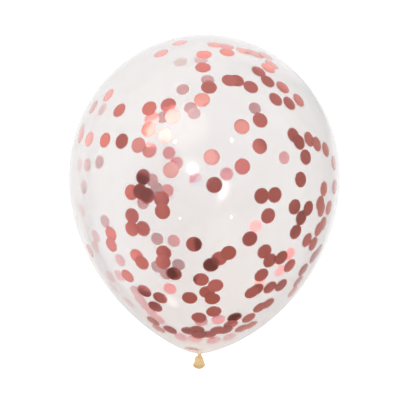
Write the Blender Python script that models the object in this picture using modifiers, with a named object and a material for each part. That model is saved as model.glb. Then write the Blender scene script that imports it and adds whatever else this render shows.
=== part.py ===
"""A clear round latex balloon, tied off, lying on its side: one skin from crown to rolled lip.

The balloon is sealed, so its solid is full. It is turned upright about Z with the crown up, drawn out of
round where the real one is, and laid down with the crown towards +Y and the tail towards -Y. The broad side
of the tail faces up. The origin is where the belly rests on the surface, under the widest ring.
"""

import math

import bmesh
import bpy
from mathutils import Matrix, Vector

# Driving dimensions, in metres.
BODY_WIDTH = 0.280        # across the widest ring
CROWN_RISE = 0.1465       # widest ring to the top of the crown
BELLY_DROP = 0.1830       # widest ring to the neck
CROWN_FULLNESS = 0.5      # power of the profile above the widest ring; 0.5 is an ellipse
BELLY_FULLNESS = 0.675    # power below it; a larger value makes a sharper tip
RESTING_SPOT = 0.050      # width of the flat spot that the balloon lies on

NECK_RADIUS = 0.0016      # the neck where the knot draws it tight
NECK_LENGTH = 0.0008
NECK_FILLET = 0.0012      # skin curving into the neck
NECK_SHIFT = 0.0052       # how far the knot has pulled the neck to the side
SHIFT_POWER = 12          # how suddenly the belly follows the neck

TAIL_LENGTH = 0.0092      # neck to the middle of the rolled lip, at the tail's sides
TAIL_FLARE = 0.90         # power of the flare; 1 is a straight cone
TAIL_DEPTH = 0.55         # depth of the flattened tail as a share of its width
TAIL_FAN = 0.0036         # how much further the lip reaches in the middle of the broad sides
FAN_POWER = 1.2           # 1 is a half ellipse; a larger value is more pointed
TAIL_LEAN = 0.0004        # how far the lip leans to the side of the neck's axis
MOUTH_RADIUS = 0.0054     # to the middle of the rolled lip
LIP_RADIUS = 0.0009       # of the rolled bead
TAIL_WALL = 0.0007
TAIL_FLOOR = 0.0045       # neck to the bottom of the hollow in the tail

KNOT_RADIUS = 0.0020      # ring that the wrapped turn follows
KNOT_THICKNESS = 0.0034
KNOT_DROP = 0.0046        # middle of the turn below the belly's end
KNOT_SIDE = 0.0018        # middle of the turn beside the neck's axis
KNOT_TILT = math.radians(24)

PLEATS = 14               # gathers in the skin round the neck
PLEAT_DEPTH = 0.10        # of the local radius, at the neck
PLEAT_REACH = 0.022       # how far out from the axis they fade away
TAIL_FOLDS = 4            # soft lengthwise folds in the tail
FOLD_DEPTH = 0.06

# Resolution of the turned shape.
TURN_STEPS = 56
CROWN_ROWS = 13
BELLY_ROWS = 20
FILLET_ROWS = 3
TAIL_ROWS = 8
LIP_ROWS = 7
MERGE = 1e-5

half_width = BODY_WIDTH / 2
neck_start = -BELLY_DROP
tail_start = neck_start - NECK_FILLET - NECK_LENGTH


def clear_scene():
    for obj in list(bpy.data.objects):
        bpy.data.objects.remove(obj)


def new_collection(name):
    made = bpy.data.collections.new(name)
    bpy.context.scene.collection.children.link(made)
    return made


def latex_material():
    """Unstretched latex is cream; the blown skin is nearly clear."""
    made = bpy.data.materials.new("clear_latex")
    made.use_nodes = True
    shader = made.node_tree.nodes["Principled BSDF"]
    shader.inputs["Base Color"].default_value = (0.86, 0.83, 0.78, 1)
    shader.inputs["Roughness"].default_value = 0.12
    shader.inputs["Metallic"].default_value = 0.0
    shader.inputs["Alpha"].default_value = 0.4
    return made


def skin_radius(share, fullness):
    """Radius of the blown skin at a share of the way from the widest ring to a pole."""
    return half_width * (1 - share * share) ** fullness


def share_at_radius(radius, fullness):
    return math.sqrt(1 - (radius / half_width) ** (1 / fullness))


def crown_points():
    """From the pole down to just above the widest ring."""
    for row in range(CROWN_ROWS):
        rise = math.sin(math.pi / 2 * (1 - row / CROWN_ROWS))
        yield skin_radius(rise, CROWN_FULLNESS), CROWN_RISE * rise


def belly_points():
    """From the widest ring down to where the fillet into the neck begins."""
    last_share = share_at_radius(NECK_RADIUS + NECK_FILLET, BELLY_FULLNESS)
    last_angle = math.asin(last_share)
    for row in range(BELLY_ROWS + 1):
        drop = math.sin(last_angle * row / BELLY_ROWS)
        yield skin_radius(drop, BELLY_FULLNESS), -BELLY_DROP * drop


def neck_points():
    """The fillet, a quarter circle, and the tight neck below it."""
    for row in range(1, FILLET_ROWS + 1):
        turn = math.pi / 2 * row / FILLET_ROWS
        yield (
            NECK_RADIUS + NECK_FILLET * (1 - math.sin(turn)),
            neck_start - NECK_FILLET * (1 - math.cos(turn)),
        )


def tail_radius(share):
    """Outside of the tail, from the neck at 0 to the lip at 1."""
    return NECK_RADIUS + (MOUTH_RADIUS - NECK_RADIUS) * share ** TAIL_FLARE


def tail_outside_points():
    for row in range(TAIL_ROWS):
        share = row / TAIL_ROWS
        yield tail_radius(share), tail_start - TAIL_LENGTH * share


def lip_points():
    """Round the rolled bead, from its outer side under it to its inner side."""
    for row in range(LIP_ROWS):
        turn = math.radians(60 - 270 * row / (LIP_ROWS - 1))
        yield (
            MOUTH_RADIUS + LIP_RADIUS * math.cos(turn),
            tail_start - TAIL_LENGTH + LIP_RADIUS * math.sin(turn),
        )


def tail_inside_points():
    """Up the inner wall to the bottom of the hollow, which the knot closes."""
    floor_share = TAIL_FLOOR / TAIL_LENGTH
    top_share = 0.88
    for row in range(TAIL_ROWS - 2):
        share = top_share + (floor_share - top_share) * row / (TAIL_ROWS - 2)
        yield tail_radius(share) - TAIL_WALL, tail_start - TAIL_LENGTH * share
    yield 0.0, tail_start - TAIL_FLOOR


def skin_profile():
    points = list(crown_points())
    points += belly_points()
    points += neck_points()
    points += tail_outside_points()
    points += lip_points()
    points += tail_inside_points()
    return points


def turned_skin(collection):
    """The profile turned about Z with a Screw modifier."""
    profile = skin_profile()
    mesh = bpy.data.meshes.new("skin_profile")
    mesh.from_pydata(
        [(radius, 0, height) for radius, height in profile],
        [(i, i + 1) for i in range(len(profile) - 1)],
        [],
    )
    obj = bpy.data.objects.new("skin_profile", mesh)
    collection.objects.link(obj)
    screw = obj.modifiers.new("turn", "SCREW")
    screw.axis = "Z"
    screw.angle = math.tau
    screw.steps = screw.render_steps = TURN_STEPS
    screw.use_merge_vertices = True
    screw.merge_threshold = MERGE
    return obj


def smooth_step(value):
    value = min(1.0, max(0.0, value))
    return value * value * (3 - 2 * value)


def gathered(x, y, z):
    """Pleats in the skin that fade away from the neck, and folds along the tail."""
    radius, angle = math.hypot(x, y), math.atan2(y, x)
    if z > tail_start:
        fade = smooth_step(1 - radius / PLEAT_REACH) if z < 0 else 0.0
        swell = PLEAT_DEPTH * fade * math.cos(PLEATS * angle)
    else:
        down = smooth_step((tail_start - z) / TAIL_LENGTH)
        swell = FOLD_DEPTH * down * math.sin(TAIL_FOLDS * angle)
    return x * (1 + swell), y * (1 + swell), z


def flattened(x, y, z):
    """The tail is pressed flat into a fan whose lip reaches furthest in the middle."""
    down = smooth_step((tail_start - z) / TAIL_LENGTH)
    radius = math.hypot(x, y)
    broad = abs(y / radius) ** FAN_POWER if radius > MERGE else 0.0
    opened = min(1.0, radius / MOUTH_RADIUS)
    return x, y * (1 + (TAIL_DEPTH - 1) * down), z - TAIL_FAN * broad * down * opened


def pulled_aside(x, y, z):
    """The knot has pulled the neck sideways, and the end of the belly with it. The tail leans on from there."""
    share = min(1.0, max(0.0, -z / BELLY_DROP))
    along_tail = max(0.0, (tail_start - z) / TAIL_LENGTH)
    return x - NECK_SHIFT * share ** SHIFT_POWER - TAIL_LEAN * along_tail, y, z


def shape_skin(mesh):
    for vertex in mesh.vertices:
        place = gathered(*vertex.co)
        place = flattened(*place)
        vertex.co = pulled_aside(*place)


def knot_turn():
    """The turn of the neck that is wrapped round itself, as a tilted ring."""
    bpy.ops.mesh.primitive_torus_add(
        major_segments=22,
        minor_segments=10,
        major_radius=KNOT_RADIUS,
        minor_radius=KNOT_THICKNESS / 2,
        location=(-NECK_SHIFT - KNOT_SIDE, 0, neck_start - KNOT_DROP),
        rotation=(0, -KNOT_TILT, 0),
    )
    turn = bpy.context.object
    turn.name = "knot_turn"
    turn.hide_render = True
    turn.display_type = "WIRE"
    return turn


def joined(obj, other):
    """The evaluated mesh of the two solids as one."""
    union = obj.modifiers.new("knot", "BOOLEAN")
    union.operation = "UNION"
    union.object = other
    graph = bpy.context.evaluated_depsgraph_get()
    return bpy.data.meshes.new_from_object(obj.evaluated_get(graph))


def laid_down(mesh):
    """Crown to +Y, widest ring at y = 0, and the flat spot cut at z = 0."""
    axis_height = math.sqrt(half_width ** 2 - (RESTING_SPOT / 2) ** 2)
    mesh.transform(Matrix.Translation((0, 0, axis_height)) @ Matrix.Rotation(-math.pi / 2, 4, "X"))
    shape = bmesh.new()
    shape.from_mesh(mesh)
    whole = shape.verts[:] + shape.edges[:] + shape.faces[:]
    cut = bmesh.ops.bisect_plane(
        shape, geom=whole, dist=MERGE, plane_co=Vector(), plane_no=Vector((0, 0, -1)), clear_outer=True
    )
    rim = [part for part in cut["geom_cut"] if isinstance(part, bmesh.types.BMEdge)]
    bmesh.ops.contextual_create(shape, geom=rim)
    bmesh.ops.recalc_face_normals(shape, faces=shape.faces)
    shape.to_mesh(mesh)
    shape.free()


def build_balloon():
    model = new_collection("confetti_balloon")
    helpers = new_collection("helpers")
    skin = turned_skin(helpers)
    graph = bpy.context.evaluated_depsgraph_get()
    mesh = bpy.data.meshes.new_from_object(skin.evaluated_get(graph))
    mesh.name = "balloon"
    bpy.data.objects.remove(skin)
    shape_skin(mesh)

    balloon = bpy.data.objects.new("balloon", mesh)
    model.objects.link(balloon)
    balloon.data = joined(balloon, knot_turn())
    balloon.modifiers.clear()
    laid_down(balloon.data)
    balloon.data.materials.clear()
    balloon.data.materials.append(latex_material())
    balloon.data.shade_smooth()
    balloon.data.set_sharp_from_angle(angle=math.radians(50))


clear_scene()
build_balloon()
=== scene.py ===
import math

import bmesh
import bpy
from mathutils import Matrix, Vector
from mathutils.bvhtree import BVHTree
from mathutils.kdtree import KDTree


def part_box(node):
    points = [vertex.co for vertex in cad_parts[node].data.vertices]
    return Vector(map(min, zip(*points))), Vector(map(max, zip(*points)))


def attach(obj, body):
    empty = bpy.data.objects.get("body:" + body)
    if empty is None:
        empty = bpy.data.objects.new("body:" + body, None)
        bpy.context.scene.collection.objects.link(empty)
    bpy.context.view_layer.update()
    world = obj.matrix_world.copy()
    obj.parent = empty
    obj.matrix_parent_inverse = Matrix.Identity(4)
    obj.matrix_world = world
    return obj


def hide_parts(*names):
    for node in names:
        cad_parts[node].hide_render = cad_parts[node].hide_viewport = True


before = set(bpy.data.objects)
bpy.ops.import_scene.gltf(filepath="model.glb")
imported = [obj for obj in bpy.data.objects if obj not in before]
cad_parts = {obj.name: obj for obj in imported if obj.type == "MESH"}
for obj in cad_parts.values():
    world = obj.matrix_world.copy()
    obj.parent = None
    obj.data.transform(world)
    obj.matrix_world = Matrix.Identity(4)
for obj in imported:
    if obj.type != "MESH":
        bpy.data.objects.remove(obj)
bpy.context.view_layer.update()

# The balloon's own measures, from its CAD node.
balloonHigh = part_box("balloon")[1]
halfWidth = balloonHigh.x
axisHeight = balloonHigh.z - halfWidth
crownRise = balloonHigh.y

# The camera of the photograph: straight over the balloon, a little towards the neck.
photoCamera = {
    "side": 416,           # pixels of the picture, across and down
    "focal": 1079,         # in the same pixels
    "distance": 1.12,      # camera to the balloon's long axis, m
    "toTheRight": 0.0035,
    "towardNeck": 0.032,
    "film": 36.0,          # mm
}


def makeCamera():
    lens = bpy.data.cameras.new("photoCamera")
    lens.sensor_width = photoCamera["film"]
    lens.lens = photoCamera["film"] * photoCamera["focal"] / photoCamera["side"]
    camera = bpy.data.objects.new("photoCamera", lens)
    height = axisHeight + photoCamera["distance"]
    camera.location = (photoCamera["toTheRight"], -photoCamera["towardNeck"], height)
    bpy.context.scene.collection.objects.link(camera)
    bpy.context.scene.camera = camera
    return camera


camera = makeCamera()
bpy.context.scene.view_settings.view_transform = "Standard"
print("camera stands over the balloon")


class Wire:
    # A socket that can be used in sums: each operator adds a Math node.
    def __init__(self, graph, socket):
        self.graph = graph
        self.socket = socket

    def combine(self, operation, *terms):
        return self.graph.add("ShaderNodeMath", {"operation": operation}, dict(enumerate(terms)))

    def __add__(self, other):
        return self.combine("ADD", self, other)

    def __radd__(self, other):
        return self.combine("ADD", other, self)

    def __sub__(self, other):
        return self.combine("SUBTRACT", self, other)

    def __rsub__(self, other):
        return self.combine("SUBTRACT", other, self)

    def __mul__(self, other):
        return self.combine("MULTIPLY", self, other)

    def __rmul__(self, other):
        return self.combine("MULTIPLY", other, self)

    def __truediv__(self, other):
        return self.combine("DIVIDE", self, other)

    def __rtruediv__(self, other):
        return self.combine("DIVIDE", other, self)

    def __pow__(self, other):
        return self.combine("POWER", self, other)

    def __rpow__(self, other):
        return self.combine("POWER", other, self)

    def __gt__(self, other):
        return self.combine("GREATER_THAN", self, other)

    def atLeast(self, other):
        return self.combine("MAXIMUM", self, other)

    def atMost(self, other):
        return self.combine("MINIMUM", self, other)

    def eased(self):
        # 0 to 1 with soft ends, for a value that may lie outside them
        held = self.atLeast(0.0).atMost(1.0)
        return held * held * (3.0 - 2.0 * held)


class Graph:
    # A node tree, for a material, the world or Geometry Nodes.
    def __init__(self, tree):
        self.tree = tree

    def add(self, kind, settings=None, sockets=None, out=0):
        # settings are set first; sockets are values or wires, by name or number
        node = self.tree.nodes.new(kind)
        for name, value in (settings or {}).items():
            if name == "stops":
                self.fillRamp(node.color_ramp, value)
            else:
                setattr(node, name, value)
        for key, value in (sockets or {}).items():
            if isinstance(value, Wire):
                self.tree.links.new(value.socket, node.inputs[key])
            else:
                node.inputs[key].default_value = value
        if isinstance(out, tuple):
            return [Wire(self, node.outputs[name]) for name in out]
        return Wire(self, node.outputs[out]) if node.outputs else None

    def fillRamp(self, ramp, stops):
        while len(ramp.elements) < len(stops):
            ramp.elements.new(0.5)
        for element, (place, colour) in zip(ramp.elements, stops):
            element.position = place
            element.color = (*colour, 1.0)

    def mixShaders(self, amount, first, second):
        return self.add("ShaderNodeMixShader", None, {0: amount, 1: first, 2: second})

    def blendColours(self, amount, first, second):
        return self.add("ShaderNodeMix", {"data_type": "RGBA"}, {0: amount, 6: first, 7: second}, 2)


def newMaterial(name):
    made = bpy.data.materials.new(name)
    made.use_nodes = True
    made.node_tree.nodes.clear()
    return made, Graph(made.node_tree)


def newTree(name, inputs):
    # A Geometry Nodes group with a geometry input, named inputs and one geometry output.
    tree = bpy.data.node_groups.new(name, "GeometryNodeTree")
    face = tree.interface
    face.new_socket("Geometry", in_out="INPUT", socket_type="NodeSocketGeometry")
    for label, kind in inputs.items():
        face.new_socket(label, in_out="INPUT", socket_type="NodeSocket" + kind)
    face.new_socket("Geometry", in_out="OUTPUT", socket_type="NodeSocketGeometry")
    graph = Graph(tree)
    names = ("Geometry", *inputs)
    given = dict(zip(names, graph.add("NodeGroupInput", out=names)))
    return graph, given


def finishTree(graph, geometry, material):
    solid = graph.add("GeometryNodeRealizeInstances", None, {0: geometry})
    painted = graph.add("GeometryNodeSetMaterial", None, {"Geometry": solid, "Material": material})
    graph.add("NodeGroupOutput", None, {0: painted})


def grow(name, graph, values, startMesh):
    # The result of the tree as a plain mesh object, with nothing live on it.
    carrier = bpy.data.objects.new(name, startMesh)
    bpy.context.scene.collection.objects.link(carrier)
    modifier = carrier.modifiers.new(name, "NODES")
    modifier.node_group = graph.tree
    for item in graph.tree.interface.items_tree:
        if item.in_out == "INPUT" and item.name in values:
            modifier[item.identifier] = values[item.name]
    depsgraph = bpy.context.evaluated_depsgraph_get()
    mesh = bpy.data.meshes.new_from_object(carrier.evaluated_get(depsgraph))
    carrier.modifiers.clear()
    carrier.data = mesh
    return carrier


# The skin follows the same rule as the solid: an ellipse above its widest ring, a fuller curve below it.
balloonSkin = {
    "bellyDrop": 0.1830,       # widest ring to the neck
    "bellyFullness": 0.675,    # power of the curve below the widest ring
    "neckShift": 0.0052,       # how far the knot has pulled the neck to the side
    "shiftPower": 12,
    "pleats": 14,              # gathers round the neck
    "pleatDepth": 0.10,        # of the local radius, at the neck
    "pleatReach": 0.022,       # how far out they fade away
    "restSoftness": 0.004,     # how gently the skin turns into the flat spot that it lies on
    "liftFade": 4.0,           # that softness lifts the skin; higher takes this off nearer to the spot
    "restGap": 0.00004,        # under that spot
    "segments": 384,
    "rings": 250,
}

# The film, blown thin: mostly see-through, a little milky, glossy at glancing angles.
clearLatex = {
    "tint": (0.970, 0.966, 0.958, 1),     # of what passes straight through
    "towardNeck": (0.90, 0.86, 0.84, 1),  # the same where the belly narrows and is blown less thin
    "cream": (1.0, 0.88, 0.80, 1),        # the same in the thick skin by the neck
    "haze": 0.27,                         # share scattered where the film is seen square on
    "hazeGrowth": 1.15,                   # how fast that grows where it is seen aslant
    "hazeLoss": 0.45,                     # share of the haze that is lost by the neck
    "hazeCleared": 0.92,                  # share that a disc takes away where it sticks to the film
    "hazeColour": (0.93, 0.93, 0.925, 1),
    "leastSlant": 0.08,                   # no part of the rim counts as seen more aslant than this
    "powder": 0.04,                       # share that the powdery surface throws back, seen square on
    "powderLoss": 0.65,                   # share of the powder that is rubbed off by the neck
    "powderRoughness": 0.6,
    "glossRoughness": 0.025,
    "squareOnReflection": 0.04,           # of one face of the film
    "reflectionGrowth": 5.0,              # power by which that grows to full at the rim
    "faceTaken": 0.8,                     # share of the inner face's reflection that a disc takes away
    "thickReach": 0.065,                  # the skin is thicker and milkier this near the neck
    "thickHaze": 0.22,                    # haze that this adds
    "thickColour": (1.0, 0.90, 0.83, 1),
    "thickBack": 0.5,                     # share of the haze that is thrown back there
    "thickMatte": 0.75,                   # share of the gloss that is lost there
    "solidReach": 0.0035,                 # this near the neck it turns into the latex of the neck
    "solidShare": 0.6,                    # and by this much
    "rippleScale": 9.0,
    "rippleHeight": 0.0006,
}

# The latex that was never stretched: cream, soft, a little light comes through it.
naturalLatex = {
    "pale": (0.93, 0.74, 0.42),
    "deep": (0.88, 0.62, 0.30),
    "lip": (0.74, 0.46, 0.17),           # where the mouth is rolled and thicker
    "lipShare": 0.75,                    # how much of that tone shows there
    "lipStart": 0.0112,                  # how far from the neck it begins, and where it is full
    "lipEnd": 0.0136,
    "mottleScale": 420,
    "mottleEnds": (0.3, 0.7),            # values of the noise where it is deep and where it is pale
    "wrinkleScale": 900,
    "wrinkleDetail": 3.0,
    "wrinkleHeight": 0.00012,
    "wrinkleStrength": 0.6,
    "roughness": 0.42,
    "refraction": 1.5,
    "glow": (0.92, 0.80, 0.60, 1),       # colour of the light that comes through
    "glowShare": 0.22,
}


def fromNeckPoint(graph, place):
    # How far each place is from the point where the belly meets the neck.
    neckPoint = (-balloonSkin["neckShift"], -balloonSkin["bellyDrop"], axisHeight)
    return graph.add("ShaderNodeVectorMath", {"operation": "DISTANCE"}, {0: place, 1: neckPoint}, "Value")


def latexShader(graph, place, away):
    latex = naturalLatex
    mottle = graph.add("ShaderNodeTexNoise", None, {"Vector": place, "Scale": latex["mottleScale"]})
    low, high = latex["mottleEnds"]
    stops = [(low, latex["deep"]), (high, latex["pale"])]
    colour = graph.add("ShaderNodeValToRGB", {"stops": stops}, {0: mottle})
    atLip = ((away - latex["lipStart"]) / (latex["lipEnd"] - latex["lipStart"])).eased()
    colour = graph.blendColours(latex["lipShare"] * atLip, colour, (*latex["lip"], 1))
    wrinkles = graph.add("ShaderNodeTexNoise", None, {
        "Vector": place, "Scale": latex["wrinkleScale"], "Detail": latex["wrinkleDetail"],
    })
    bumped = graph.add("ShaderNodeBump", None, {
        "Distance": latex["wrinkleHeight"], "Strength": latex["wrinkleStrength"], "Height": wrinkles,
    })
    body = graph.add("ShaderNodeBsdfPrincipled", None, {
        "Base Color": colour, "Roughness": latex["roughness"], "IOR": latex["refraction"], "Normal": bumped,
    })
    glow = graph.add("ShaderNodeBsdfTranslucent", None, {"Color": latex["glow"]})
    return graph.mixShaders(latex["glowShare"], body, glow)


def filmShader(graph, place, narrowing, thickness):
    facing = graph.add("ShaderNodeLayerWeight", None, {"Blend": 0.5}, "Facing")
    slant = (1.0 - facing).atLeast(clearLatex["leastSlant"])
    # A disc that sticks to the film is seen clear: haze only softens what lies behind it at a distance.
    touched = graph.add("ShaderNodeAttribute", {"attribute_name": "touched"}, out="Fac")
    hazeSquareOn = clearLatex["haze"] + clearLatex["thickHaze"] * thickness
    hazeSquareOn = hazeSquareOn * (1.0 - clearLatex["hazeCleared"] * touched)
    hazeLeft = 1.0 - clearLatex["hazeLoss"] * narrowing * narrowing
    haze = 1.0 - (1.0 - hazeSquareOn) ** (hazeLeft * (1.0 / slant) ** clearLatex["hazeGrowth"])
    powderLeft = 1.0 - clearLatex["powderLoss"] * narrowing
    powdery = 1.0 - (1.0 - clearLatex["powder"]) ** (powderLeft / slant)

    def shade(kind, colour):
        return graph.add("ShaderNodeBsdf" + kind, None, {"Color": clearLatex[colour]})

    # What varies is mixed by shaders, each of one plain colour.
    thin = graph.mixShaders(narrowing, shade("Transparent", "tint"), shade("Transparent", "towardNeck"))
    clear = graph.mixShaders(thickness, thin, shade("Transparent", "cream"))
    through, back = [
        graph.mixShaders(thickness, shade(kind, "hazeColour"), shade(kind, "thickColour"))
        for kind in ("Translucent", "Diffuse")
    ]
    milky = graph.mixShaders(clearLatex["thickBack"] * thickness, through, back)
    powder = graph.add("ShaderNodeBsdfGlossy", None, {"Roughness": clearLatex["powderRoughness"]})
    film = graph.mixShaders(powdery, graph.mixShaders(haze, clear, milky), powder)
    # Both faces of the film reflect, and light goes to and fro between them. A disc that sticks to the
    # inner face takes most of that one's reflection away.
    squareOn = clearLatex["squareOnReflection"]
    oneFace = squareOn + (1 - squareOn) * facing ** clearLatex["reflectionGrowth"]
    innerLeft = 1.0 - clearLatex["faceTaken"] * touched
    faces = (1.0 + innerLeft) * oneFace / (1.0 + oneFace * innerLeft)
    glossy = faces * (1.0 - clearLatex["thickMatte"] * thickness)
    ripples = graph.add("ShaderNodeTexNoise", None, {"Vector": place, "Scale": clearLatex["rippleScale"]})
    bumped = graph.add("ShaderNodeBump", None, {"Distance": clearLatex["rippleHeight"], "Height": ripples})
    gloss = graph.add(
        "ShaderNodeBsdfGlossy", None, {"Roughness": clearLatex["glossRoughness"], "Normal": bumped}
    )
    return graph.mixShaders(glossy, film, gloss)


def makeClearLatex():
    material, graph = newMaterial("clearLatex")
    place = graph.add("ShaderNodeTexCoord", out="Object")
    away = fromNeckPoint(graph, place)
    along = graph.add("ShaderNodeSeparateXYZ", None, {0: place}, "Y")
    narrowing = (along / -balloonSkin["bellyDrop"]).eased()
    thickness = (1.0 - away / clearLatex["thickReach"]).eased()
    solid = clearLatex["solidShare"] * (1.0 - away / clearLatex["solidReach"]).eased()
    film = filmShader(graph, place, narrowing, thickness)
    surface = graph.mixShaders(solid, film, latexShader(graph, place, away))
    graph.add("ShaderNodeOutputMaterial", None, {0: surface})
    return material


def skinTree():
    sizes = (
        "Half Width", "Crown Rise", "Belly Drop", "Belly Fullness", "Neck Shift", "Shift Power",
        "Axis Height", "Pleats", "Pleat Depth", "Pleat Reach", "Rest Softness", "Rest Lift",
    )
    inputs = {"Segments": "Int", "Rings": "Int", **dict.fromkeys(sizes, "Float"), "Material": "Material"}
    graph, given = newTree("balloonSkin", inputs)
    ball = graph.add("GeometryNodeMeshUVSphere", None, {
        "Segments": given["Segments"], "Rings": given["Rings"], "Radius": 1.0,
    })
    across, depth, along = graph.add(
        "ShaderNodeSeparateXYZ", None, {0: graph.add("GeometryNodeInputPosition")}, ("X", "Y", "Z")
    )
    # The ball's pole at Z is the crown. Below the widest ring the radius takes a power of its own.
    onCrown = along > 0.0
    square = (1.0 - along * along).atLeast(0.0)
    ballRadius = square ** 0.5
    fuller = onCrown + (1.0 - onCrown) * square ** (given["Belly Fullness"] - 0.5)
    length = onCrown * given["Crown Rise"] + (1.0 - onCrown) * given["Belly Drop"]
    radius = given["Half Width"] * fuller * ballRadius
    angle = graph.add("ShaderNodeMath", {"operation": "ARCTAN2"}, {0: depth, 1: across})
    wave = graph.add("ShaderNodeMath", {"operation": "COSINE"}, {0: angle * given["Pleats"]})
    nearNeck = (1.0 - onCrown) * (1.0 - radius / given["Pleat Reach"]).eased()
    swell = given["Half Width"] * fuller * (1.0 + given["Pleat Depth"] * nearNeck * wave)
    pulled = given["Neck Shift"] * (0.0 - along).atLeast(0.0) ** given["Shift Power"]
    free = given["Axis Height"] - depth * swell
    # Never under the floor: the greater of the free height and 0, with a rounded turn between the two.
    rounded = (free + (free * free + given["Rest Softness"] ** 2.0) ** 0.5) * 0.5
    height = rounded - given["Rest Lift"] * depth.atLeast(0.0) ** balloonSkin["liftFade"]
    place = graph.add(
        "ShaderNodeCombineXYZ", None, {"X": across * swell - pulled, "Y": along * length, "Z": height}
    )
    shaped = graph.add("GeometryNodeSetPosition", None, {"Geometry": ball, "Position": place})
    smooth = graph.add("GeometryNodeSetShadeSmooth", None, {"Geometry": shaped})
    finishTree(graph, smooth, given["Material"])
    return graph


def makeSkin():
    lowest = axisHeight - halfWidth
    lift = (lowest + math.hypot(lowest, balloonSkin["restSoftness"])) / 2 - balloonSkin["restGap"]
    return grow("balloonSkin", skinTree(), {
        "Segments": balloonSkin["segments"],
        "Rings": balloonSkin["rings"],
        "Half Width": halfWidth,
        "Crown Rise": crownRise,
        "Belly Drop": balloonSkin["bellyDrop"],
        "Belly Fullness": balloonSkin["bellyFullness"],
        "Neck Shift": balloonSkin["neckShift"],
        "Shift Power": float(balloonSkin["shiftPower"]),
        "Axis Height": axisHeight,
        "Pleats": float(balloonSkin["pleats"]),
        "Pleat Depth": balloonSkin["pleatDepth"],
        "Pleat Reach": balloonSkin["pleatReach"],
        "Rest Softness": balloonSkin["restSoftness"],
        "Rest Lift": lift,
        "Material": makeClearLatex(),
    }, bpy.data.meshes.new("skinStart"))


skin = makeSkin()
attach(skin, "root")
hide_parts("balloon")
print("skin blown")


# Below the belly: the tight neck, the turn of the knot, and the flared tail with its rolled lip.
tiedNeck = {
    "neckRadius": 0.0016,
    "neckLength": 0.0008,
    "fillet": 0.0012,
    "tailLength": 0.0092,
    "tailFlare": 0.60,
    "tailDepth": 0.55,        # of its width
    "tailFan": 0.0036,        # how much further the lip reaches in the middle of the broad sides
    "tailLean": 0.0006,
    "mouthRadius": 0.0054,
    "lipRadius": 0.0009,
    "lipRoll": 0.6,           # share of that by which the tail swells where it meets the lip
    "rollPower": 3,           # higher makes that swelling come later along the tail
    "wall": 0.0007,
    "hollowTop": 0.0045,      # neck to the bottom of the hollow in the tail
    "hollowMouth": 0.88,      # share of the tail's length where the wall of the hollow leaves the lip
    "knotRadius": 0.0017,
    "knotThickness": 0.0046,
    "knotDrop": 0.0048,
    "knotSide": 0.0016,
    "knotTilt": math.radians(24),
    "folds": 4,
    "foldDepth": 0.06,
    "strands": 5,             # creases along the wrapped turn
    "strandDepth": 0.07,
    "strandTwist": 2,         # times that they wind round it
    "strandPower": 3,         # higher makes them narrower
    "segments": 96,
    "knotSegments": (72, 40),     # round the ring, and round its thickness
    "voxel": 0.00014,
    "softening": 12,          # rounds that soften the joins
}


def neckOutline():
    # Radius and height, from inside the belly's tip down the outside, round the lip and up the inside.
    size = tiedNeck
    filletSteps, tailSteps, lipSteps, hollowSteps = 6, 16, 12, 9
    lipStart, lipSweep = 60, 270      # degrees, over the outside and the end of the lip to its inside
    neckTop = -balloonSkin["bellyDrop"]
    tailTop = neckTop - size["fillet"] - size["neckLength"]
    lipHeight = tailTop - size["tailLength"]

    def tailRadius(share):
        return size["neckRadius"] + (size["mouthRadius"] - size["neckRadius"]) * share ** size["tailFlare"]

    points = [(0.0, neckTop + size["fillet"])]
    for step in range(filletSteps + 1):
        turn = math.pi / 2 * step / filletSteps
        points.append((
            size["neckRadius"] + size["fillet"] * (1 - math.sin(turn)),
            neckTop - size["fillet"] * (1 - math.cos(turn)),
        ))
    for step in range(tailSteps):
        share = step / tailSteps
        rolled = size["lipRoll"] * size["lipRadius"] * share ** size["rollPower"]
        points.append((tailRadius(share) + rolled, tailTop - size["tailLength"] * share))
    for step in range(lipSteps + 1):
        turn = math.radians(lipStart - lipSweep * step / lipSteps)
        points.append((
            size["mouthRadius"] + size["lipRadius"] * math.cos(turn),
            lipHeight + size["lipRadius"] * math.sin(turn),
        ))
    bottom = size["hollowTop"] / size["tailLength"]
    for step in range(hollowSteps):
        share = size["hollowMouth"] + (bottom - size["hollowMouth"]) * step / hollowSteps
        points.append((tailRadius(share) - size["wall"], tailTop - size["tailLength"] * share))
    points.append((0.0, tailTop - size["hollowTop"]))
    return points, tailTop


def eased(value):
    value = min(1.0, max(0.0, value))
    return value * value * (3 - 2 * value)


def creased(x, y, z, tailTop):
    # Pleats down to the knot, folds along the flattened tail, the fan of its lip, and the pull to the side.
    size = tiedNeck
    radius = math.hypot(x, y)
    angle = math.atan2(y, x)
    down = eased((tailTop - z) / size["tailLength"])
    pleat = balloonSkin["pleatDepth"] * (1 - down) * math.cos(balloonSkin["pleats"] * angle)
    fold = size["foldDepth"] * down * math.sin(size["folds"] * angle)
    x *= 1 + pleat + fold
    y *= (1 + pleat + fold) * (1 + (size["tailDepth"] - 1) * down)
    broad = abs(math.sin(angle))
    fan = size["tailFan"] * broad * down * min(1.0, radius / size["mouthRadius"])
    share = min(1.0, max(0.0, -z / balloonSkin["bellyDrop"]))
    pulled = balloonSkin["neckShift"] * share ** balloonSkin["shiftPower"]
    lean = size["tailLean"] * max(0.0, (tailTop - z) / size["tailLength"])
    return Vector((x - pulled - lean, y, z - fan))


def addRings(shape, rings):
    # Quads between rings of vertices, each ring a list; a ring of one vertex is a pole.
    for upper, lower in zip(rings, rings[1:]):
        count = max(len(upper), len(lower))
        for i in range(count):
            corners = [upper[i % len(upper)], lower[i % len(lower)]]
            corners += [lower[(i + 1) % len(lower)], upper[(i + 1) % len(upper)]]
            shape.faces.new(list(dict.fromkeys(corners)))


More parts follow.
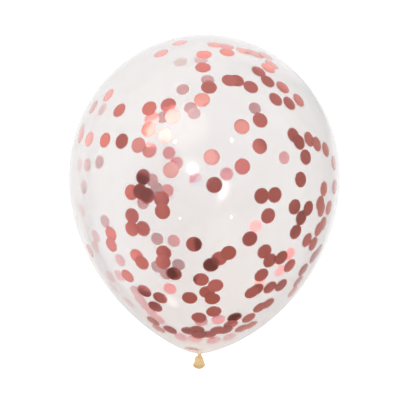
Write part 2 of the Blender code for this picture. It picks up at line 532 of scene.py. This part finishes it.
def addTail(shape):
    points, tailTop = neckOutline()
    rings = []
    for radius, height in points:
        count = tiedNeck["segments"] if radius > 0 else 1
        ring = []
        for i in range(count):
            turn = math.tau * i / count
            spot = creased(radius * math.cos(turn), radius * math.sin(turn), height, tailTop)
            ring.append(shape.verts.new(spot))
        rings.append(ring)
    addRings(shape, rings)


def addKnotTurn(shape):
    # The wrapped turn: a tilted ring, creased along its length like twisted latex.
    size = tiedNeck
    around, through = size["knotSegments"]
    side = balloonSkin["neckShift"] + size["knotSide"]
    middle = Vector((-side, 0, -balloonSkin["bellyDrop"] - size["knotDrop"]))
    tilt = Matrix.Rotation(-size["knotTilt"], 3, "Y")
    rings = []
    for i in range(around):
        turn = math.tau * i / around
        ring = []
        for k in range(through):
            roll = math.tau * k / through
            wave = 0.5 + 0.5 * math.cos(size["strands"] * roll + size["strandTwist"] * turn)
            crease = 1 - size["strandDepth"] * wave ** size["strandPower"]
            thick = size["knotThickness"] / 2 * crease
            reach = size["knotRadius"] + thick * math.cos(roll)
            spot = Vector((reach * math.cos(turn), reach * math.sin(turn), thick * math.sin(roll)))
            ring.append(shape.verts.new(middle + tilt @ spot))
        rings.append(ring)
    addRings(shape, rings + rings[:1])


def makeTiedNeck(material):
    shape = bmesh.new()
    addTail(shape)
    addKnotTurn(shape)
    bmesh.ops.recalc_face_normals(shape, faces=shape.faces)
    rough = bpy.data.meshes.new("tiedNeck")
    shape.to_mesh(rough)
    shape.free()
    rough.transform(Matrix.Translation((0, 0, axisHeight)) @ Matrix.Rotation(-math.pi / 2, 4, "X"))
    neck = bpy.data.objects.new("tiedNeck", rough)
    bpy.context.scene.collection.objects.link(neck)
    joined = neck.modifiers.new("join", "REMESH")
    joined.mode = "VOXEL"
    joined.voxel_size = tiedNeck["voxel"]
    softened = neck.modifiers.new("soften", "SMOOTH")
    softened.iterations = tiedNeck["softening"]
    depsgraph = bpy.context.evaluated_depsgraph_get()
    neck.data = bpy.data.meshes.new_from_object(neck.evaluated_get(depsgraph))
    neck.modifiers.clear()
    neck.data.materials.clear()
    neck.data.materials.append(material)
    neck.data.shade_smooth()
    return neck


def makeNaturalLatex():
    material, graph = newMaterial("naturalLatex")
    place = graph.add("ShaderNodeTexCoord", out="Object")
    surface = latexShader(graph, place, fromNeckPoint(graph, place))
    graph.add("ShaderNodeOutputMaterial", None, {0: surface})
    return material


neck = makeTiedNeck(makeNaturalLatex())
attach(neck, "root")
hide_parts("balloon")
print("neck tied")


# Foil confetti, stuck to the inside of the skin.
foilConfetti = {
    "width": 0.015,
    "thickness": 0.00008,
    "sides": 20,
    "sharpAngle": math.radians(40),     # edges that turn more than this are shaded sharp
    "bendRadius": 0.140,      # they lie along the skin
    "leastRing": 0.02,        # no ring of the skin counts as tighter than this
    "tilt": math.radians(2.0),
    "heapTilt": 0.4,          # share of that tilt for discs that lie on each other
    "seed": 7,
    "clearance": 0.00045,     # between the skin and the first disc
    "layer": 0.00028,         # from one disc of a heap to the next
    "touchReach": 1.08,       # how far the skin counts as touched, in radii of the disc
    "touchFade": 0.22,        # and over how much of that the touch fades
}

# Where the discs of each cluster lie in the photograph, in its pixels. A later one lies over an earlier one,
# as the camera sees them.
nearWall = {
    "crownEdge": [(179.6, 42.5), (161, 53), (215, 44), (226.5, 46), (227, 52), (244, 50), (253, 52),
                  (257, 54), (266, 55.5), (204, 54)],
    "crown": [(203, 67), (271.8, 64.2), (268.4, 67.8), (259, 71), (268, 81), (283, 87), (236.7, 80),
              (229.6, 80), (251, 86.6), (209, 87), (202, 99.5), (276, 99), (289.6, 103), (299, 100)],
    "upperLeft": [(108, 95), (119, 110), (168, 104.6), (172.5, 116), (151.5, 119), (149, 108),
                  (148.4, 129), (164.5, 135)],
    "leftRow": [(93, 107), (81, 131), (80.5, 136), (89, 139), (104.6, 140), (121.4, 141), (149, 149.6),
                (138, 145)],
    "middle": [(211.7, 157), (242.6, 166.5), (170.7, 170), (214.3, 185), (242, 126.4), (260.4, 120),
               (260, 146)],
    "rightRow": [(294, 135), (299.5, 142), (309.7, 139), (317.3, 144), (326, 149.4), (306, 157),
                 (334, 163), (301, 179.5)],
    "rightEdge": [(324.5, 189), (334.7, 187), (322, 209.6), (320.6, 203.5), (329, 208), (323.5, 224),
                  (319, 229.5), (307.7, 240.4), (313.5, 244)],
    "rightTrio": [(301.8, 218), (295, 207), (308.7, 208.4), (296, 232)],
    "rightPair": [(262, 196), (275, 195), (268.4, 216), (250, 239)],
    "lowerRim": [(319, 251), (314, 257), (303.6, 270), (298.5, 282), (293, 292)],
    "lowerRight": [(265, 252), (270.4, 261), (281.6, 258), (290, 266), (261.7, 275.4), (257, 290),
                   (252, 293), (270.4, 288), (281.4, 285.6), (268.4, 304), (260, 308)],
    "tipRight": [(235, 318.5), (231, 325.5), (225.5, 331), (217.5, 331), (249, 318.5), (251, 326),
                 (242, 329)],
    "tip": [(209, 335.5), (188.3, 332), (197, 330.6), (199, 335.7), (191.7, 350)],
    "leftHeap": [(142.4, 177), (130.4, 192.4), (139.6, 191.6), (146.7, 195.7), (161.2, 199.3),
                 (162.3, 211.5)],
    "leftTrio": [(142.4, 229), (131.4, 229), (131.7, 216)],
    "leftPairs": [(110.3, 234), (111, 245), (136.3, 256.4), (141.6, 263), (127.3, 276.3)],
    "lowerMiddle": [(163.4, 253), (163, 262), (174, 274), (193.9, 244.5)],
    "lowerRow": [(211, 265.5), (219.4, 259), (228.6, 253.3), (201, 280), (207, 292.7), (215.6, 286),
                 (212.5, 299.3), (213.8, 312), (199, 318), (189.6, 298.3)],
    "lowerLeft": [(144.2, 291.4), (160, 298.3), (155, 307), (89.6, 251), (152.6, 321.7), (158.3, 329.3),
                  (169.8, 330.3)],
}
farWall = {
    "crown": [(180.5, 61.7), (201, 59), (207.7, 79.5), (182.8, 89), (190.4, 107.7), (194, 113),
              (113.6, 75.5)],
    "left": [(102, 109), (162.7, 117), (99, 162), (87, 165), (79, 165), (83.5, 187), (77, 206),
             (81, 210.5)],
    "middle": [(176.5, 163), (168.9, 152.8), (195.7, 179.4), (226.6, 174), (284.5, 157.6), (255, 108),
               (317, 99)],
    "heap": [(151.8, 180), (156.4, 188.6), (167, 190.6), (142.7, 203)],
    "lowerLeft": [(104.6, 221.4), (95.5, 236.5), (95, 246.7), (157, 239), (173.6, 241), (119.7, 260.5),
                  (119, 276), (110, 277), (113, 288), (157, 267), (166, 274.3), (178.4, 265),
                  (169.7, 289), (135.5, 291.6), (128.4, 303), (139.5, 299.5), (145, 307),
                  (151.5, 314.5), (158, 321)],
    "lowerRight": [(256, 226.4), (290, 254), (280.6, 271), (260, 283), (218.5, 320), (201, 322),
                   (313, 267), (265, 322)],
    "tip": [(180.6, 338), (194.6, 339.5), (213.8, 341.5), (229.7, 338)],
}

# What the foil looks like: rose gold, satin, with a thin clear coat and soft dents.
roseGoldFoil = {
    "copper": (0.79, 0.15, 0.10),
    "rose": (1.0, 0.235, 0.195),
    "deep": (0.50, 0.06, 0.06),          # painted shade: colour of discs painted darker, as if mirroring something dark
    "pale": (1.0, 0.45, 0.40),           # painted highlight: colour of discs painted paler, as if mirroring something bright
    "back": (0.94, 0.19, 0.20),          # the side that faces into the balloon is cooler
    "roughness": 0.08,
    "roughnessSpread": 0.04,
    "coat": 1.0,
    "coatRoughness": 0.08,
    "dentScale": 70,
    "dentHeight": 0.00018,
    "grainScale": 2600,
    "grainDetail": 2.0,
    "grainHeight": 0.000004,
}


def makeRoseGoldFoil():
    material, graph = newMaterial("roseGoldFoil")
    tone = graph.add("ShaderNodeAttribute", {"attribute_name": "foilTone"}, out="Fac")
    place = graph.add("ShaderNodeTexCoord", out="Object")
    front = graph.blendColours(tone, (*roseGoldFoil["copper"], 1), (*roseGoldFoil["rose"], 1))
    back = graph.add("ShaderNodeAttribute", {"attribute_name": "foilBack"}, out="Fac")
    colour = graph.blendColours(back, front, (*roseGoldFoil["back"], 1))
    # Painted reflections: listed discs are blended towards a darker or a paler colour, as if each mirrored
    # something dark or bright.
    shift = graph.add("ShaderNodeAttribute", {"attribute_name": "toneShift"}, out="Fac")
    colour = graph.blendColours(shift, colour, (*roseGoldFoil["deep"], 1))
    colour = graph.blendColours(0.0 - shift, colour, (*roseGoldFoil["pale"], 1))
    dents = graph.add("ShaderNodeTexNoise", None, {"Vector": place, "Scale": roseGoldFoil["dentScale"]})
    dented = graph.add("ShaderNodeBump", None, {"Distance": roseGoldFoil["dentHeight"], "Height": dents})
    grain = graph.add("ShaderNodeTexNoise", None, {
        "Vector": place, "Scale": roseGoldFoil["grainScale"], "Detail": roseGoldFoil["grainDetail"],
    })
    grained = graph.add(
        "ShaderNodeBump", None, {"Distance": roseGoldFoil["grainHeight"], "Height": grain, "Normal": dented}
    )
    roughness = roseGoldFoil["roughness"] + roseGoldFoil["roughnessSpread"] * (tone - 0.5)
    foil = graph.add("ShaderNodeBsdfPrincipled", None, {
        "Base Color": colour,
        "Metallic": 1.0,
        "Roughness": roughness,
        "Coat Weight": roseGoldFoil["coat"],
        "Coat Roughness": roseGoldFoil["coatRoughness"],
        "Normal": grained,
    })
    graph.add("ShaderNodeOutputMaterial", None, {0: foil})
    return material


def skinRadius(y):
    if y >= 0:
        return halfWidth * math.sqrt(max(0.0, 1 - (y / crownRise) ** 2))
    share = min(1.0, -y / balloonSkin["bellyDrop"])
    return halfWidth * (1 - share * share) ** balloonSkin["bellyFullness"]


def pixelRay(x, y):
    half = photoCamera["side"] / 2
    return Vector((x - half, half - y, -photoCamera["focal"])).normalized()


def wallPoint(walls, x, y, farSide):
    # Where the sight line of a pixel meets the skin, on the side near the camera or on the far side.
    way = pixelRay(x, y)
    pastTheSkin = 0.001
    spot, outward = walls.ray_cast(camera.location, way)[:2]
    if farSide:
        spot, outward = walls.ray_cast(spot + way * pastTheSkin, way)[:2]
    return spot, outward


def heapLevels(spots):
    # How many discs of the heap each one lies over, and whether it touches another at all.
    levels = []
    loose = []
    width = foilConfetti["width"]
    for i, spot in enumerate(spots):
        touching = [k for k, other in enumerate(spots) if k != i and (other - spot).length < width]
        levels.append(max((levels[k] + 1 for k in touching if k < i), default=0))
        loose.append(not touching)
    return levels, loose


def tightness(spot):
    # Extra room where the belly narrows and curves more than the discs are bent.
    ring = max(foilConfetti["leastRing"], skinRadius(spot.y))
    reach = foilConfetti["width"] / 2
    return max(0.0, reach * reach / 2 * (1 / ring - 1 / foilConfetti["bendRadius"]))


# Painted reflections of single discs, by the pixel that each is placed by: above 0 painted darker than the
# rest, as if mirroring something dark; below 0 painted paler, as if mirroring something bright.
paintedDiscReflections = {
    (156.4, 188.6): 1.0, (178.4, 265): 1.0, (157, 267): 0.6, (166, 274.3): 0.7, (255, 108): 0.9,
    (201, 322): 0.5, (104.6, 221.4): 0.6, (157, 239): 0.5, (135.5, 291.6): 0.4, (77, 206): 0.4,
    (99, 162): 0.6, (161.2, 199.3): 0.5, (142.4, 177): 0.8, (281.4, 285.6): 0.5, (168, 104.6): 0.45,
    (191.7, 350): 1.0, (188.3, 332): 0.3, (298.5, 282): 0.7, (314, 257): 0.7, (319, 251): 1.0,
    (303.6, 270): 0.5, (334, 163): 0.5, (334.7, 187): 0.5, (144.2, 291.4): 0.3, (151.5, 119): 0.25,
    (313, 267): 0.6, (89, 139): -0.55, (108, 95): -0.4, (161, 53): -0.4, (138, 145): -0.45,
    (149, 149.6): -0.4, (180.5, 61.7): -1.0, (83.5, 187): -1.0, (102, 109): -0.8, (260, 283): -0.5,
    (201, 59): -0.3, (194.6, 339.5): -0.5,
}


def placeDiscs(walls, clusters, farSide):
    placed = []
    for centres in clusters.values():
        order = centres if farSide else centres[::-1]
        met = [wallPoint(walls, x, y, farSide) for x, y in order]
        levels, loose = heapLevels([spot for spot, outward in met])
        for pixel, (spot, outward), level, free in zip(order, met, levels, loose):
            inward = foilConfetti["clearance"] + tightness(spot) + foilConfetti["layer"] * level
            sway = 1.0 if free else foilConfetti["heapTilt"]
            # the last value is the disc's painted reflection: darker above 0, paler below 0
            placed.append((spot - outward * inward, outward, sway, paintedDiscReflections.get(pixel, 0.0)))
    return placed


def giveEach(mesh, name, kind, field, values):
    # A new attribute with a value for each point of the mesh.
    layer = mesh.attributes.new(name, kind, "POINT")
    for i, value in enumerate(values):
        setattr(layer.data[i], field, value)


def markTouched(placed):
    # On the skin: 1 where a disc sticks to it, fading at the disc's edge.
    discs = KDTree(len(placed))
    for i, disc in enumerate(placed):
        discs.insert(disc[0], i)
    discs.balance()
    reach = foilConfetti["width"] / 2 * foilConfetti["touchReach"]
    fade = foilConfetti["width"] / 2 * foilConfetti["touchFade"]
    touched = [eased((reach - discs.find(vertex.co)[2]) / fade) for vertex in skin.data.vertices]
    giveEach(skin.data, "touched", "FLOAT", "value", touched)


def confettiTree():
    graph, given = newTree("confetti", {
        "Sides": "Int", "Disc Width": "Float", "Thickness": "Float", "Bend Radius": "Float",
        "Tilt": "Float", "Seed": "Int", "Material": "Material",
    })
    disc, under = graph.add("GeometryNodeMeshCylinder", {"fill_type": "TRIANGLE_FAN"}, {
        "Vertices": given["Sides"], "Radius": given["Disc Width"] / 2.0, "Depth": given["Thickness"],
    }, ("Mesh", "Bottom"))
    disc = graph.add(
        "GeometryNodeStoreNamedAttribute", {"data_type": "FLOAT", "domain": "FACE"},
        {"Geometry": disc, "Name": "foilBack", "Value": under},
    )
    across, along, up = graph.add(
        "ShaderNodeSeparateXYZ", None, {0: graph.add("GeometryNodeInputPosition")}, ("X", "Y", "Z")
    )
    drop = (across * across + along * along) / (2.0 * given["Bend Radius"])
    bentPlace = graph.add("ShaderNodeCombineXYZ", None, {"X": across, "Y": along, "Z": up - drop})
    bent = graph.add("GeometryNodeSetPosition", None, {"Geometry": disc, "Position": bentPlace})
    outward = graph.add(
        "GeometryNodeInputNamedAttribute", {"data_type": "FLOAT_VECTOR"}, {"Name": "outward"}, "Attribute"
    )
    facing = graph.add("FunctionNodeAlignRotationToVector", {"axis": "Z"}, {"Vector": outward})
    sway = graph.add(
        "GeometryNodeInputNamedAttribute", {"data_type": "FLOAT"}, {"Name": "sway"}, "Attribute"
    )
    tilt = sway * given["Tilt"]
    least = graph.add("ShaderNodeCombineXYZ", None, {"X": 0.0 - tilt, "Y": 0.0 - tilt})
    most = graph.add("ShaderNodeCombineXYZ", None, {"X": tilt, "Y": tilt, "Z": math.tau})
    chance = graph.add(
        "FunctionNodeRandomValue", {"data_type": "FLOAT_VECTOR"}, {0: least, 1: most, "Seed": given["Seed"]}
    )
    turned = graph.add("FunctionNodeRotateRotation", {"rotation_space": "LOCAL"}, {
        "Rotation": facing, "Rotate By": graph.add("FunctionNodeEulerToRotation", None, {0: chance}),
    })
    discs = graph.add(
        "GeometryNodeInstanceOnPoints", None,
        {"Points": given["Geometry"], "Instance": bent, "Rotation": turned},
    )
    tone = graph.add("FunctionNodeRandomValue", {"data_type": "FLOAT"}, {"Seed": given["Seed"]}, 1)
    toned = graph.add(
        "GeometryNodeStoreNamedAttribute", {"data_type": "FLOAT", "domain": "INSTANCE"},
        {"Geometry": discs, "Name": "foilTone", "Value": tone},
    )
    finishTree(graph, toned, given["Material"])
    return graph


def strewConfetti(name, placed, foil):
    spots, directions, sways, paintedReflections = zip(*placed)
    points = bpy.data.meshes.new(name + "Points")
    points.from_pydata(spots, [], [])
    giveEach(points, "outward", "FLOAT_VECTOR", "vector", directions)
    giveEach(points, "sway", "FLOAT", "value", sways)
    # painted reflection of each disc: darker above 0, paler below 0
    giveEach(points, "toneShift", "FLOAT", "value", paintedReflections)
    confetti = grow(name, confettiTree(), {
        "Sides": foilConfetti["sides"],
        "Disc Width": foilConfetti["width"],
        "Thickness": foilConfetti["thickness"],
        "Bend Radius": foilConfetti["bendRadius"],
        "Tilt": foilConfetti["tilt"],
        "Seed": foilConfetti["seed"],
        "Material": foil,
    }, points)
    confetti.data.shade_smooth()
    confetti.data.set_sharp_from_angle(angle=foilConfetti["sharpAngle"])
    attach(confetti, "root")
    print(name, "strewn:", len(placed), "discs")
    return confetti


def makeConfetti():
    mesh = skin.data
    walls = BVHTree.FromPolygons([v.co for v in mesh.vertices], [p.vertices for p in mesh.polygons])
    near = placeDiscs(walls, nearWall, False)
    far = placeDiscs(walls, farWall, True)
    markTouched(near + far)
    foil = makeRoseGoldFoil()
    return strewConfetti("upperConfetti", near, foil), strewConfetti("lowerConfetti", far, foil)


upperConfetti, lowerConfetti = makeConfetti()


# The floor, the soft light, and how far off the lamps hang.
studio = {
    "floorSize": 3.0,
    "floorColour": (0.82, 0.82, 0.82, 1),
    "floorRoughness": 0.7,
    "floorGlow": 0.45,              # the floor is lit from below too, so that it stays white
    "fill": 1.0,                    # soft light from all round
    "room": (0.43, 0.42, 0.41, 1),  # the room where no part of it is named
    "seenWhite": 1.0,               # what the camera sees past the floor
    "lampDistance": 6.0,
    "lampStep": 0.1,                # each lamp hangs this much further off than the last
}

# Parts of the room, each painted over the ones before it: degrees off the straight-up line, degrees round
# from +X towards +Y, how far it reaches, how wide its soft edge is, and its light.
roomParts = {
    "frontWall": {"off": 75, "round": -85, "reach": 42, "edge": 25, "light": (0.54, 0.505, 0.48)},
    "topWall": {"off": 80, "round": 80, "reach": 62, "edge": 35, "light": (0.55, 0.56, 0.57)},
    "ceiling": {"off": 20, "round": 70, "reach": 42, "edge": 14, "light": (0.76, 0.82, 0.90)},
    "leftWall": {"off": 85, "round": 185, "reach": 58, "edge": 12, "light": (0.80, 0.82, 0.84)},
    "table": {"off": 180, "round": 0, "reach": 76, "edge": 8, "light": (0.61, 0.60, 0.58)},
    "frontTable": {"off": 108, "round": -100, "reach": 28, "edge": 8, "light": (0.47, 0.45, 0.45)},
    "tableBelow": {"off": 180, "round": 0, "reach": 58, "edge": 26, "light": (1.0, 0.98, 0.96)},
    "tableRight": {"off": 158, "round": 20, "reach": 26, "edge": 11, "light": (1.35, 1.35, 1.35)},
    "backdrop": {"off": 115, "round": 135, "reach": 62, "edge": 14, "light": (0.88, 0.89, 0.90)},
    "tableBack": {"off": 131, "round": 48, "reach": 27, "edge": 8, "light": (0.88, 0.90, 0.92)},
    "tableTop": {"off": 134, "round": 86, "reach": 32, "edge": 8, "light": (1.35, 1.35, 1.35)},
    "tableLeft": {"off": 145, "round": 143, "reach": 41, "edge": 10, "light": (1.32, 1.32, 1.32)},
    "leftLow": {"off": 103, "round": 214, "reach": 24, "edge": 10, "light": (1.0, 1.12, 1.2)},
    "softbox": {"off": 53, "round": 134, "reach": 16, "edge": 12, "light": (1.2, 1.25, 1.3)},
    "softboxTop": {"off": 40, "round": 112, "reach": 22, "edge": 14, "light": (2.1, 2.1, 2.1)},
    "overheadGlow": {"off": 13, "round": 146, "reach": 10, "edge": 8, "light": (2.2, 2.2, 2.2)},
    "overhead": {"off": 10.7, "round": 150, "reach": 5.6, "edge": 4.8, "light": (11, 11, 11)},
    "rightCeiling": {"off": 43, "round": 21, "reach": 15, "edge": 9, "light": (0.74, 0.77, 0.80)},
    "rightDim": {"off": 89, "round": -19, "reach": 11, "edge": 5, "light": (0.33, 0.32, 0.32)},
    "leftDim": {"off": 57, "round": 207, "reach": 19, "edge": 8, "light": (0.53, 0.53, 0.55)},
    "cameraShade": {"off": 9, "round": -50, "reach": 11, "edge": 5, "light": (0.45, 0.45, 0.47)},
    "leftGlow": {"off": 97, "round": 163, "reach": 9, "edge": 4, "light": (1.1, 1.1, 1.1)},
    "rightGlow": {"off": 104, "round": 19, "reach": 8, "edge": 4, "light": (0.6, 0.6, 0.6)},
    "leftShade": {"off": 79, "round": 157, "reach": 9, "edge": 3, "light": (0.55, 0.55, 0.55)},
    "cornerShade": {"off": 98, "round": 143, "reach": 7, "edge": 3, "light": (0.8, 0.8, 0.8)},
    "frontShade": {"off": 104, "round": -125, "reach": 9, "edge": 3, "light": (0.30, 0.28, 0.29)},
    "darkLeft": {"off": 53, "round": 189, "reach": 9.5, "edge": 1.0, "light": (0.22, 0.19, 0.20)},
    "darkFront": {"off": 58, "round": -84, "reach": 6, "edge": 0.8, "light": (0.16, 0.15, 0.15)},
    "darkStand": {"off": 44, "round": -96, "reach": 5.5, "edge": 0.6, "light": (0.12, 0.11, 0.11)},
    "darkPost": {"off": 69, "round": -101, "reach": 4.5, "edge": 0.6, "light": (0.14, 0.13, 0.13)},
    "darkSide": {"off": 72, "round": -115, "reach": 4.5, "edge": 0.8, "light": (0.14, 0.13, 0.13)},
    "darkLow": {"off": 106, "round": -70, "reach": 6, "edge": 1.0, "light": (0.16, 0.15, 0.15)},
    "frontLamp": {"off": 91.5, "round": -112, "reach": 5.5, "edge": 4, "light": (2.8, 2.7, 2.6)},
    "leftSpot": {"off": 34.7, "round": 132.4, "reach": 1.7, "edge": 1.7, "light": (26, 26, 26)},
    "rightSpot": {"off": 34.3, "round": 50.5, "reach": 1.7, "edge": 1.7, "light": (26, 26, 26)},
}

# Panels that only the confetti mirrors, on the upper or on the lower wall. "across" is how wide each
# looks from the balloon, in degrees.
upperPanels = {
    "keyTop": {"off": 52, "round": 119, "across": 16, "brightness": 2.4, "colour": (0.8, 0.97, 1.08)},
    "keySide": {"off": 50, "round": 141, "across": 22, "brightness": 2.9, "colour": (0.8, 0.97, 1.12)},
    "keyEdge": {"off": 56, "round": 137, "across": 26, "brightness": 1.0, "colour": (0.8, 0.97, 1.05)},
    "ceilingPanel": {"off": 18, "round": 130, "across": 50, "brightness": 1.5, "colour": (0.25, 0.8, 0.9)},
    "topPanel": {"off": 59, "round": 92, "across": 14, "brightness": 1.6, "colour": (0.4, 1.0, 1.1)},
    "rightPanel": {"off": 48, "round": 49, "across": 13, "brightness": 1.0, "colour": (0.33, 0.9, 0.9)},
}
lowerPanels = {
    "keyBelow": {"off": 56, "round": 140, "across": 26, "brightness": 2.5, "colour": (0.9, 1.05, 0.9)},
    "ceilingBelow": {"off": 7, "round": 3, "across": 24, "brightness": 5.5, "colour": (0.02, 1.0, 1.1)},
    "backBelow": {"off": 104, "round": 136, "across": 40, "brightness": 1.2, "colour": (1.35, 1.35, 1.1)},
    "topBelow": {"off": 103, "round": 104, "across": 24, "brightness": 0.8, "colour": (1.0, 0.8, 0.8)},
    "frontBelow": {"off": 57, "round": -80, "across": 14, "brightness": 1.0, "colour": (0.5, 1.0, 1.1)},
    "tablePanel": {"off": 117, "round": -82, "across": 22, "brightness": 1.1, "colour": (0.4, 1.0, 1.0)},
    "rightBelow": {"off": 134, "round": 5, "across": 66, "brightness": 0.6, "colour": (0.5, 1.0, 1.0)},
    "sideGlow": {"off": 87, "round": 63, "across": 12, "brightness": 0.8, "colour": (1.0, 0.3, 0.3)},
    "cornerGlow": {"off": 52, "round": 57, "across": 12, "brightness": 0.6, "colour": (1.0, 0.5, 0.4)},
}


def makeFloor():
    bpy.ops.mesh.primitive_plane_add(size=studio["floorSize"])
    floor = bpy.context.object
    floor.name = "floor"
    material, graph = newMaterial("paleFloor")
    surface = graph.add("ShaderNodeBsdfPrincipled", None, {
        "Base Color": studio["floorColour"],
        "Roughness": studio["floorRoughness"],
        "Emission Color": (1, 1, 1, 1),
        "Emission Strength": studio["floorGlow"],
    })
    graph.add("ShaderNodeOutputMaterial", None, {0: surface})
    floor.data.materials.append(material)
    floor.visible_glossy = False


def direction(off, turn):
    off, turn = math.radians(off), math.radians(turn)
    return Vector((math.sin(off) * math.cos(turn), math.sin(off) * math.sin(turn), math.cos(off)))


def makeRoom():
    world = bpy.data.worlds.new("studio")
    bpy.context.scene.world = world
    world.use_nodes = True
    world.node_tree.nodes.clear()
    graph = Graph(world.node_tree)
    way = graph.add("ShaderNodeTexCoord", out="Generated")
    colour = studio["room"]
    for part in roomParts.values():
        middle = direction(part["off"], part["round"])
        near = graph.add("ShaderNodeVectorMath", {"operation": "DOT_PRODUCT"}, {0: way, 1: middle}, "Value")
        outer = math.cos(math.radians(part["reach"]))
        inner = math.cos(math.radians(part["reach"] - part["edge"]))
        painted = ((near - outer) / (inner - outer)).eased()
        colour = graph.blendColours(painted, colour, (*part["light"], 1))
    room = graph.add("ShaderNodeBackground", None, {"Color": colour, "Strength": 1.0})
    fill = graph.add("ShaderNodeBackground", None, {"Color": (1, 1, 1, 1), "Strength": studio["fill"]})
    seen = graph.add("ShaderNodeBackground", None, {"Color": (1, 1, 1, 1), "Strength": studio["seenWhite"]})
    direct, soft = graph.add("ShaderNodeLightPath", out=("Is Camera Ray", "Is Diffuse Ray"))
    lit = graph.mixShaders(direct, graph.mixShaders(soft, room, fill), seen)
    graph.add("ShaderNodeOutputWorld", None, {0: lit})


def hangLamp(name, lamp, distance, receivers):
    way = direction(lamp["off"], lamp["round"])
    light = bpy.data.lights.new(name, "AREA")
    light.shape = "DISK"
    light.color = lamp["colour"]
    light.size = 2 * distance * math.tan(math.radians(lamp["across"] / 2))
    # a disc of brightness 1 gives off pi times its area
    light.energy = lamp["brightness"] * math.pi * math.pi * (light.size / 2) ** 2
    hung = bpy.data.objects.new(name, light)
    hung.location = Vector((0, 0, axisHeight)) + way * distance
    hung.visible_diffuse = False
    hung.light_linking.receiver_collection = receivers
    hung.rotation_euler = way.to_track_quat("Z", "Y").to_euler()
    bpy.context.scene.collection.objects.link(hung)


def hangPanels(name, panels, piece):
    receivers = bpy.data.collections.new(name)
    receivers.objects.link(piece)
    for i, (panel, lamp) in enumerate(panels.items()):
        hangLamp(panel, lamp, studio["lampDistance"] + studio["lampStep"] * i, receivers)


makeFloor()
makeRoom()
hangPanels("upperOnly", upperPanels, upperConfetti)
hangPanels("lowerOnly", lowerPanels, lowerConfetti)
print("studio lit")
